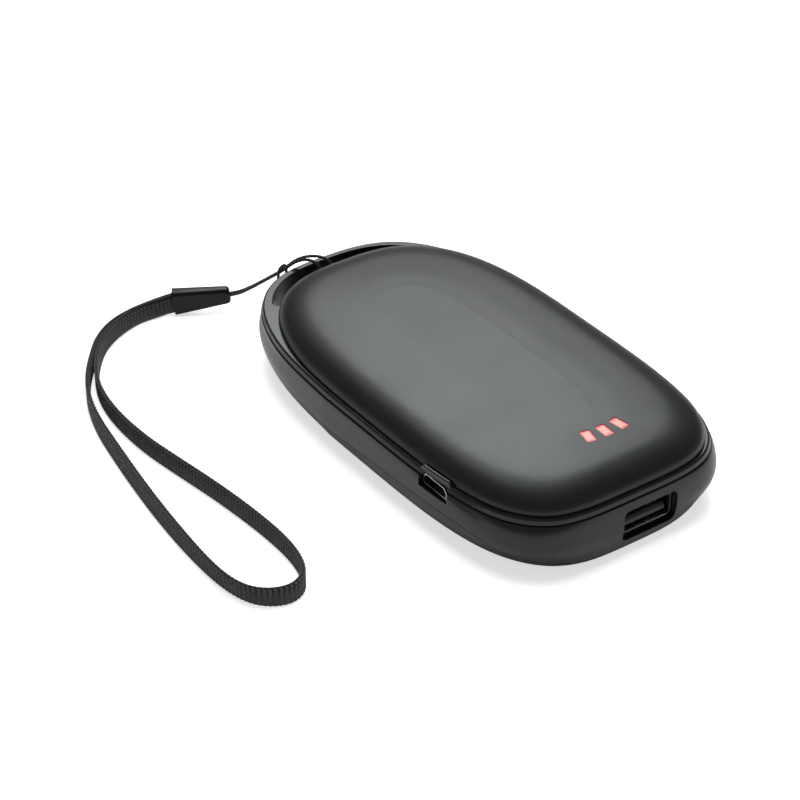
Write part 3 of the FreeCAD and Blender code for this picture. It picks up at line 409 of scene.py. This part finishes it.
def stitchColumn(tree, inputs, faceSign):
    # One row of slanted stitches across the band, on one of its two faces.
    count = inputs["Columns"]
    step = mathNode(tree, "DIVIDE", inputs["Band Width"], count)
    first = mathNode(tree, "MULTIPLY", mathNode(tree, "SUBTRACT", step, inputs["Band Width"]), 0.5)
    bedded = mathNode(tree, "MULTIPLY", inputs["Band Thickness"], inputs["Stitch Depth Share"])
    depth = mathNode(tree, "MULTIPLY", bedded, float(faceSign))
    line = addNode(tree, "GeometryNodeMeshLine", {
        "Count": count, "Start Location": vectorOf(tree, depth, first), "Offset": vectorOf(tree, 0.0, step)})
    index = addNode(tree, "GeometryNodeInputIndex").outputs[0]
    parity = mathNode(tree, "MODULO", index, 2.0)
    side = mathNode(tree, "SUBTRACT", mathNode(tree, "MULTIPLY", parity, 2.0), 1.0)
    slant = mathNode(tree, "MULTIPLY", mathNode(tree, "MULTIPLY", side, inputs["Slant"]), float(faceSign))
    ball = addNode(tree, "GeometryNodeMeshUVSphere", {
        "Segments": inputs["Stitch Segments"], "Rings": inputs["Stitch Rings"], "Radius": 0.5})
    height = mathNode(tree, "MULTIPLY", inputs["Band Thickness"], inputs["Stitch Height Share"])
    size = vectorOf(tree, height, inputs["Stitch Width"], inputs["Stitch Length"])
    marked = addNode(tree, "GeometryNodeStoreNamedAttribute", {
        "Geometry": ball.outputs[0], "Name": "raised", "Value": 1.0}, domain="POINT")
    shaped = addNode(tree, "GeometryNodeTransform", {"Geometry": marked.outputs[0], "Scale": size})
    stitches = addNode(tree, "GeometryNodeInstanceOnPoints", {
        "Points": line.outputs[0], "Instance": shaped.outputs[0], "Rotation": vectorOf(tree, slant)})
    return stitches.outputs[0]


def braidTree(values, material):
    # A flat band on edge with rows of stitches on both faces, gathered towards its two ends.
    tree, inputs = newTree("strapBraid", values)
    upright = addNode(tree, "GeometryNodeSetCurveNormal", {"Curve": inputs["Geometry"]}, mode="Z_UP")
    even = addNode(tree, "GeometryNodeResampleCurve", {
        "Curve": upright.outputs[0], "Length": inputs["Pitch"]}, mode="LENGTH")
    run = addNode(tree, "GeometryNodeSplineParameter").outputs["Length"]
    total = addNode(tree, "GeometryNodeSplineLength").outputs["Length"]
    nearEnd = mathNode(tree, "MINIMUM", run, mathNode(tree, "SUBTRACT", total, run))
    gather = addNode(tree, "ShaderNodeMapRange", {
        "Value": nearEnd, "From Max": inputs["Pinch Reach"], "To Min": inputs["Pinch Share"]},
        interpolation_type="SMOOTHSTEP").outputs[0]
    pinched = addNode(tree, "GeometryNodeSetCurveRadius", {"Curve": even.outputs[0], "Radius": gather})
    noted = addNode(tree, "GeometryNodeStoreNamedAttribute", {
        "Geometry": pinched.outputs[0], "Name": "pinch", "Value": gather}, domain="POINT")
    core = addNode(tree, "GeometryNodeCurvePrimitiveQuadrilateral", {
        "Width": mathNode(tree, "MULTIPLY", inputs["Band Thickness"], inputs["Core Thickness Share"]),
        "Height": mathNode(tree, "MULTIPLY", inputs["Band Width"], inputs["Core Width Share"])})
    ribbon = addNode(tree, "GeometryNodeCurveToMesh", {
        "Curve": noted.outputs[0], "Profile Curve": core.outputs[0], "Fill Caps": True})
    places = addNode(tree, "GeometryNodeCurveToPoints", {"Curve": noted.outputs[0]}, mode="EVALUATED")
    pinch = addNode(tree, "GeometryNodeInputNamedAttribute", {"Name": "pinch"}, data_type="FLOAT")
    row = addNode(tree, "GeometryNodeJoinGeometry")
    for sign in (-1, 1):
        tree.links.new(stitchColumn(tree, inputs, sign), row.inputs[0])
    rows = addNode(tree, "GeometryNodeInstanceOnPoints", {
        "Points": places.outputs["Points"], "Instance": row.outputs[0],
        "Rotation": places.outputs["Rotation"], "Scale": vectorOf(tree, 1.0, pinch.outputs[0], 1.0)})
    both = addNode(tree, "GeometryNodeJoinGeometry")
    tree.links.new(ribbon.outputs[0], both.inputs[0])
    tree.links.new(rows.outputs[0], both.inputs[0])
    endTree(tree, both.outputs[0], material)
    return tree


strap = {
    "Band Width": 4.8 * mm,
    "Band Thickness": 0.9 * mm,
    "Pitch": 1.05 * mm,
    "Columns": 8,
    "Stitch Length": 0.88 * mm,
    "Stitch Width": 0.46 * mm,
    "Stitch Height Share": 0.55,
    "Stitch Depth Share": 0.3,
    "Stitch Segments": 6,
    "Stitch Rings": 4,
    "Slant": 0.4,
    "Core Width Share": 0.97,
    "Core Thickness Share": 0.66,
    "Pinch Share": 0.64,
    "Pinch Reach": 32.0 * mm,
}
# Lean of the band at points of its route, in radians; plus shows more of its face.
strapLean = {19: -0.08, 20: -0.16, 21: -0.18, 22: -0.1, 23: 0.04, 24: 0.1, 25: 0.12, 26: 0.12, 27: 0.06}
strapRoute = [
    (-74.2, -27.6, 3.4), (-75.7, -30.1, 2.95), (-76.1, -33.5, 2.7), (-76.5, -37.7, 2.55),
    (-75.3, -42.2, 2.6), (-73.0, -47.1, 2.6), (-69.7, -51.5, 2.6), (-64.7, -55.7, 2.6),
    (-58.7, -59.4, 2.6), (-51.5, -62.2, 2.6), (-42.0, -63.6, 2.6), (-30.7, -63.5, 2.6),
    (-20.0, -62.0, 2.6), (-8.0, -60.1, 2.6), (4.0, -58.8, 2.6), (14.5, -58.3, 2.6),
    (22.0, -58.9, 2.6), (27.7, -60.8, 2.6), (30.2, -64.2, 2.6), (30.1, -68.0, 2.6),
    (27.4, -71.9, 2.6), (22.8, -74.0, 2.6), (15.5, -74.8, 2.6), (4.7, -74.4, 2.6),
    (-7.1, -73.4, 2.6), (-19.7, -71.8, 2.6), (-31.3, -70.0, 2.6), (-42.0, -68.2, 2.6),
    (-51.1, -65.5, 2.6), (-58.6, -61.7, 2.6), (-65.1, -56.9, 2.6), (-70.5, -52.4, 2.6),
    (-74.3, -47.1, 2.6), (-76.0, -41.9, 2.6), (-76.7, -37.3, 2.55), (-76.6, -33.1, 2.7),
    (-76.2, -29.7, 2.95), (-75.0, -27.1, 3.47),
]
strapCurve = routeCurve("strapRoute", strapRoute, strapLean)
strapLine = routeLine(strapCurve)
strapBand = bakeTree(strapCurve, braidTree(strap, finishes["strap_braid"]), strap, "strapBand")
bpy.data.objects.remove(strapCurve)
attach(strapBand, "case")
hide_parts("strap_band")
print("stage: strap, %.1f mm, %d faces" % (lineLength(strapLine) / mm, len(strapBand.data.polygons)))


def cordTree(values, material):
    # A cord of twisted strands: a lobed section that turns along the path.
    tree, inputs = newTree("twistedCord", values)
    even = addNode(tree, "GeometryNodeResampleCurve", {
        "Curve": inputs["Geometry"], "Length": inputs["Step"]}, mode="LENGTH")
    run = addNode(tree, "GeometryNodeSplineParameter").outputs["Length"]
    turn = mathNode(tree, "MULTIPLY", mathNode(tree, "DIVIDE", run, inputs["Lay"]), math.tau)
    twisted = addNode(tree, "GeometryNodeSetCurveTilt", {"Curve": even.outputs[0], "Tilt": turn})
    ring = addNode(tree, "GeometryNodeCurvePrimitiveCircle", {
        "Resolution": inputs["Section Points"], "Radius": inputs["Radius"]})
    place = addNode(tree, "GeometryNodeInputPosition").outputs[0]
    parts = addNode(tree, "ShaderNodeSeparateXYZ", {"Vector": place})
    angle = mathNode(tree, "ARCTAN2", parts.outputs["Y"], parts.outputs["X"])
    wave = mathNode(tree, "COSINE", mathNode(tree, "MULTIPLY", angle, inputs["Strands"]))
    swell = mathNode(tree, "MULTIPLY", mathNode(tree, "SUBTRACT", wave, 1.0), inputs["Lobe Share"])
    offset = addNode(tree, "ShaderNodeVectorMath", {0: place, "Scale": swell}, operation="SCALE")
    lobed = addNode(tree, "GeometryNodeSetPosition", {
        "Geometry": ring.outputs[0], "Offset": offset.outputs[0]})
    tube = addNode(tree, "GeometryNodeCurveToMesh", {
        "Curve": twisted.outputs[0], "Profile Curve": lobed.outputs[0], "Fill Caps": True})
    endTree(tree, tube.outputs[0], material)
    return tree


cord = {
    "Radius": 0.38 * mm,
    "Strands": 3,
    "Lay": 2.4 * mm,
    "Step": 0.2 * mm,
    "Section Points": 18,
    "Lobe Share": 0.12,
}
cordRoute = [
    (-68.99, -19.67, 4.69), (-67.25, -17.02, 5.11), (-64.3, -15.4, 7.5), (-60.8, -13.1, 10.8),
    (-57.4, -10.75, 13.95), (-55.65, -8.0, 16.6), (-54.5, -5.2, 16.8), (-52.9, -3.3, 15.3),
    (-52.4, -2.7, 11.5), (-52.6, -3.3, 7.2), (-53.9, -5.8, 5.2), (-56.8, -9.8, 5.25),
    (-57.9, -11.4, 8.4), (-57.3, -11.8, 12.0), (-57.3, -11.6, 14.9), (-58.5, -8.8, 14.9),
    (-58.4, -8.8, 12.0), (-58.5, -8.5, 8.4), (-57.4, -6.6, 5.3), (-54.4, -2.4, 5.0),
    (-52.8, 0.1, 7.2), (-52.5, 0.6, 11.5), (-53.0, -0.2, 15.4), (-54.6, -3.0, 17.0),
    (-56.0, -7.2, 17.0), (-57.8, -10.05, 14.03), (-61.2, -12.4, 10.8), (-64.8, -14.65, 7.5),
    (-68.01, -16.53, 5.11), (-69.75, -19.18, 4.69),
]
cordCurve = routeCurve("cordRoute", cordRoute)
cordLine = routeLine(cordCurve)
hangString = bakeTree(cordCurve, cordTree(cord, finishes["string_nylon"]), cord, "hangString")
bpy.data.objects.remove(cordCurve)
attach(hangString, "case")
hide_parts("hang_string")
print("stage: string, %.1f mm, %d faces" % (lineLength(cordLine) / mm, len(hangString.data.polygons)))

# The clamp: a tapered sleeve with a rounded string end and an open mouth for the band, in millimetres.
clamp = {
    "mouth": (-75.7, -29.1, 3.2),
    "exit": (-68.5, -18.1, 4.9),
    "mouthSize": (6.0, 3.5),
    "exitSize": (3.8, 2.7),
    "round": 0.85,
    "wall": 0.4,
    "depth": 2.3,
    "segments": 5,
    "sharpDegrees": 40,
}


def clampMesh(shape):
    mouth, end = Vector(shape["mouth"]) * mm, Vector(shape["exit"]) * mm
    axis = (end - mouth).normalized()
    side = axis.cross(Vector((0, 0, 1))).normalized()
    rise = side.cross(axis)
    form = bmesh.new()
    rings = []
    for centre, (height, thickness) in ((mouth, shape["mouthSize"]), (end, shape["exitSize"])):
        across, up = side * (thickness * mm / 2), rise * (height * mm / 2)
        corners = (across + up, up - across, -across - up, across - up)
        rings.append([form.verts.new(centre + corner) for corner in corners])
    for ring in rings:
        form.faces.new(ring)
    for i in range(4):
        form.faces.new((rings[0][i], rings[0][i - 1], rings[1][i - 1], rings[1][i]))
    bmesh.ops.recalc_face_normals(form, faces=form.faces)
    soft = [e for e in form.edges if not all(v in rings[0] for v in e.verts)]
    bmesh.ops.bevel(form, geom=soft, offset=shape["round"] * mm, offset_type="OFFSET",
                    segments=shape["segments"], profile=0.5, affect="EDGES", clamp_overlap=True)
    opening = min(form.faces, key=lambda f: f.normal.dot(axis) * f.calc_area())
    bmesh.ops.inset_region(form, faces=[opening], thickness=shape["wall"] * mm, use_even_offset=True)
    pushed = bmesh.ops.extrude_face_region(form, geom=[opening])["geom"]
    inner = [v for v in pushed if isinstance(v, bmesh.types.BMVert)]
    bmesh.ops.translate(form, verts=inner, vec=axis * shape["depth"] * mm)
    bmesh.ops.delete(form, geom=[opening], context="FACES")
    bmesh.ops.recalc_face_normals(form, faces=form.faces)
    mesh = bpy.data.meshes.new("clampSleeve")
    form.to_mesh(mesh)
    form.free()
    mesh.shade_smooth()
    mesh.set_sharp_from_angle(angle=math.radians(shape["sharpDegrees"]))
    mesh.materials.append(finishes["clamp_plastic"])
    return mesh


clampSleeve = linkMesh("clampSleeve", clampMesh(clamp))
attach(clampSleeve, "case")
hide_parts("strap_clamp")
print("stage: clamp, %d faces" % len(clampSleeve.data.polygons))

# Stage: a white table that keeps the soft contact shadow, a hair below the case.
table = {"size": 6.0, "drop": 0.05 * mm, "shade": "#f4f4f4", "rough": 0.9, "backdrop": 0.65, "mirrored": 0.1}
half = table["size"] / 2
corners = [(x * half, y * half, -table["drop"]) for x, y in ((-1, -1), (1, -1), (1, 1), (-1, 1))]
tableMesh = bpy.data.meshes.new("table")
tableMesh.from_pydata(corners, [], [(0, 1, 2, 3)])
tableTop = linkMesh("table", tableMesh)
paint, paintTree, paintShader = startMaterial("whiteTable")[:3]
paintShader.inputs["Base Color"].default_value = hexColour(table["shade"])
paintShader.inputs["Roughness"].default_value = table["rough"]
paintShader.inputs["Specular IOR Level"].default_value = 0.0
seen = addNode(paintTree, "ShaderNodeLightPath").outputs
viewed = mathNode(paintTree, "MULTIPLY", seen["Is Camera Ray"], table["backdrop"])
bounced = mathNode(paintTree, "MAXIMUM", seen["Is Glossy Ray"], seen["Is Transmission Ray"])
glow = mathNode(paintTree, "ADD", viewed, mathNode(paintTree, "MULTIPLY", bounced, table["mirrored"]))
paintShader.inputs["Emission Color"].default_value = (1, 1, 1, 1)
paintTree.links.new(glow, paintShader.inputs["Emission Strength"])
tableMesh.materials.append(paint)

# Light in metres and watts: pale surroundings, a panel overhead that metal doesn't mirror, and a panel
# behind that draws the sheen.
surroundings = {"shade": (1, 1, 1, 1), "strength": 0.14}
panelTarget = (0, 0, 0.01)
panels = {
    "overheadPanel": {"place": (0, 0, 0.75), "side": 0.45, "power": 3.6, "mirrored": False},
    "sheenPanel": {"place": (-0.477, 0.339, 0.546), "side": 0.34, "power": 2.1, "mirrored": True},
}
world = bpy.data.worlds.new("surroundings")
scene.world = world
world.use_nodes = True
background = world.node_tree.nodes["Background"].inputs
background["Color"].default_value = surroundings["shade"]
background["Strength"].default_value = surroundings["strength"]
for name, panel in panels.items():
    data = bpy.data.lights.new(name, "AREA")
    data.size, data.energy = panel["side"], panel["power"]
    lamp = bpy.data.objects.new(name, data)
    lamp.location = panel["place"]
    lamp.rotation_mode = "QUATERNION"
    lamp.rotation_quaternion = (Vector(panelTarget) - Vector(panel["place"])).to_track_quat("-Z", "Y")
    lamp.visible_glossy = panel["mirrored"]
    scene.collection.objects.link(lamp)
scene.view_settings.view_transform = "Standard"
print("stage: table and light")
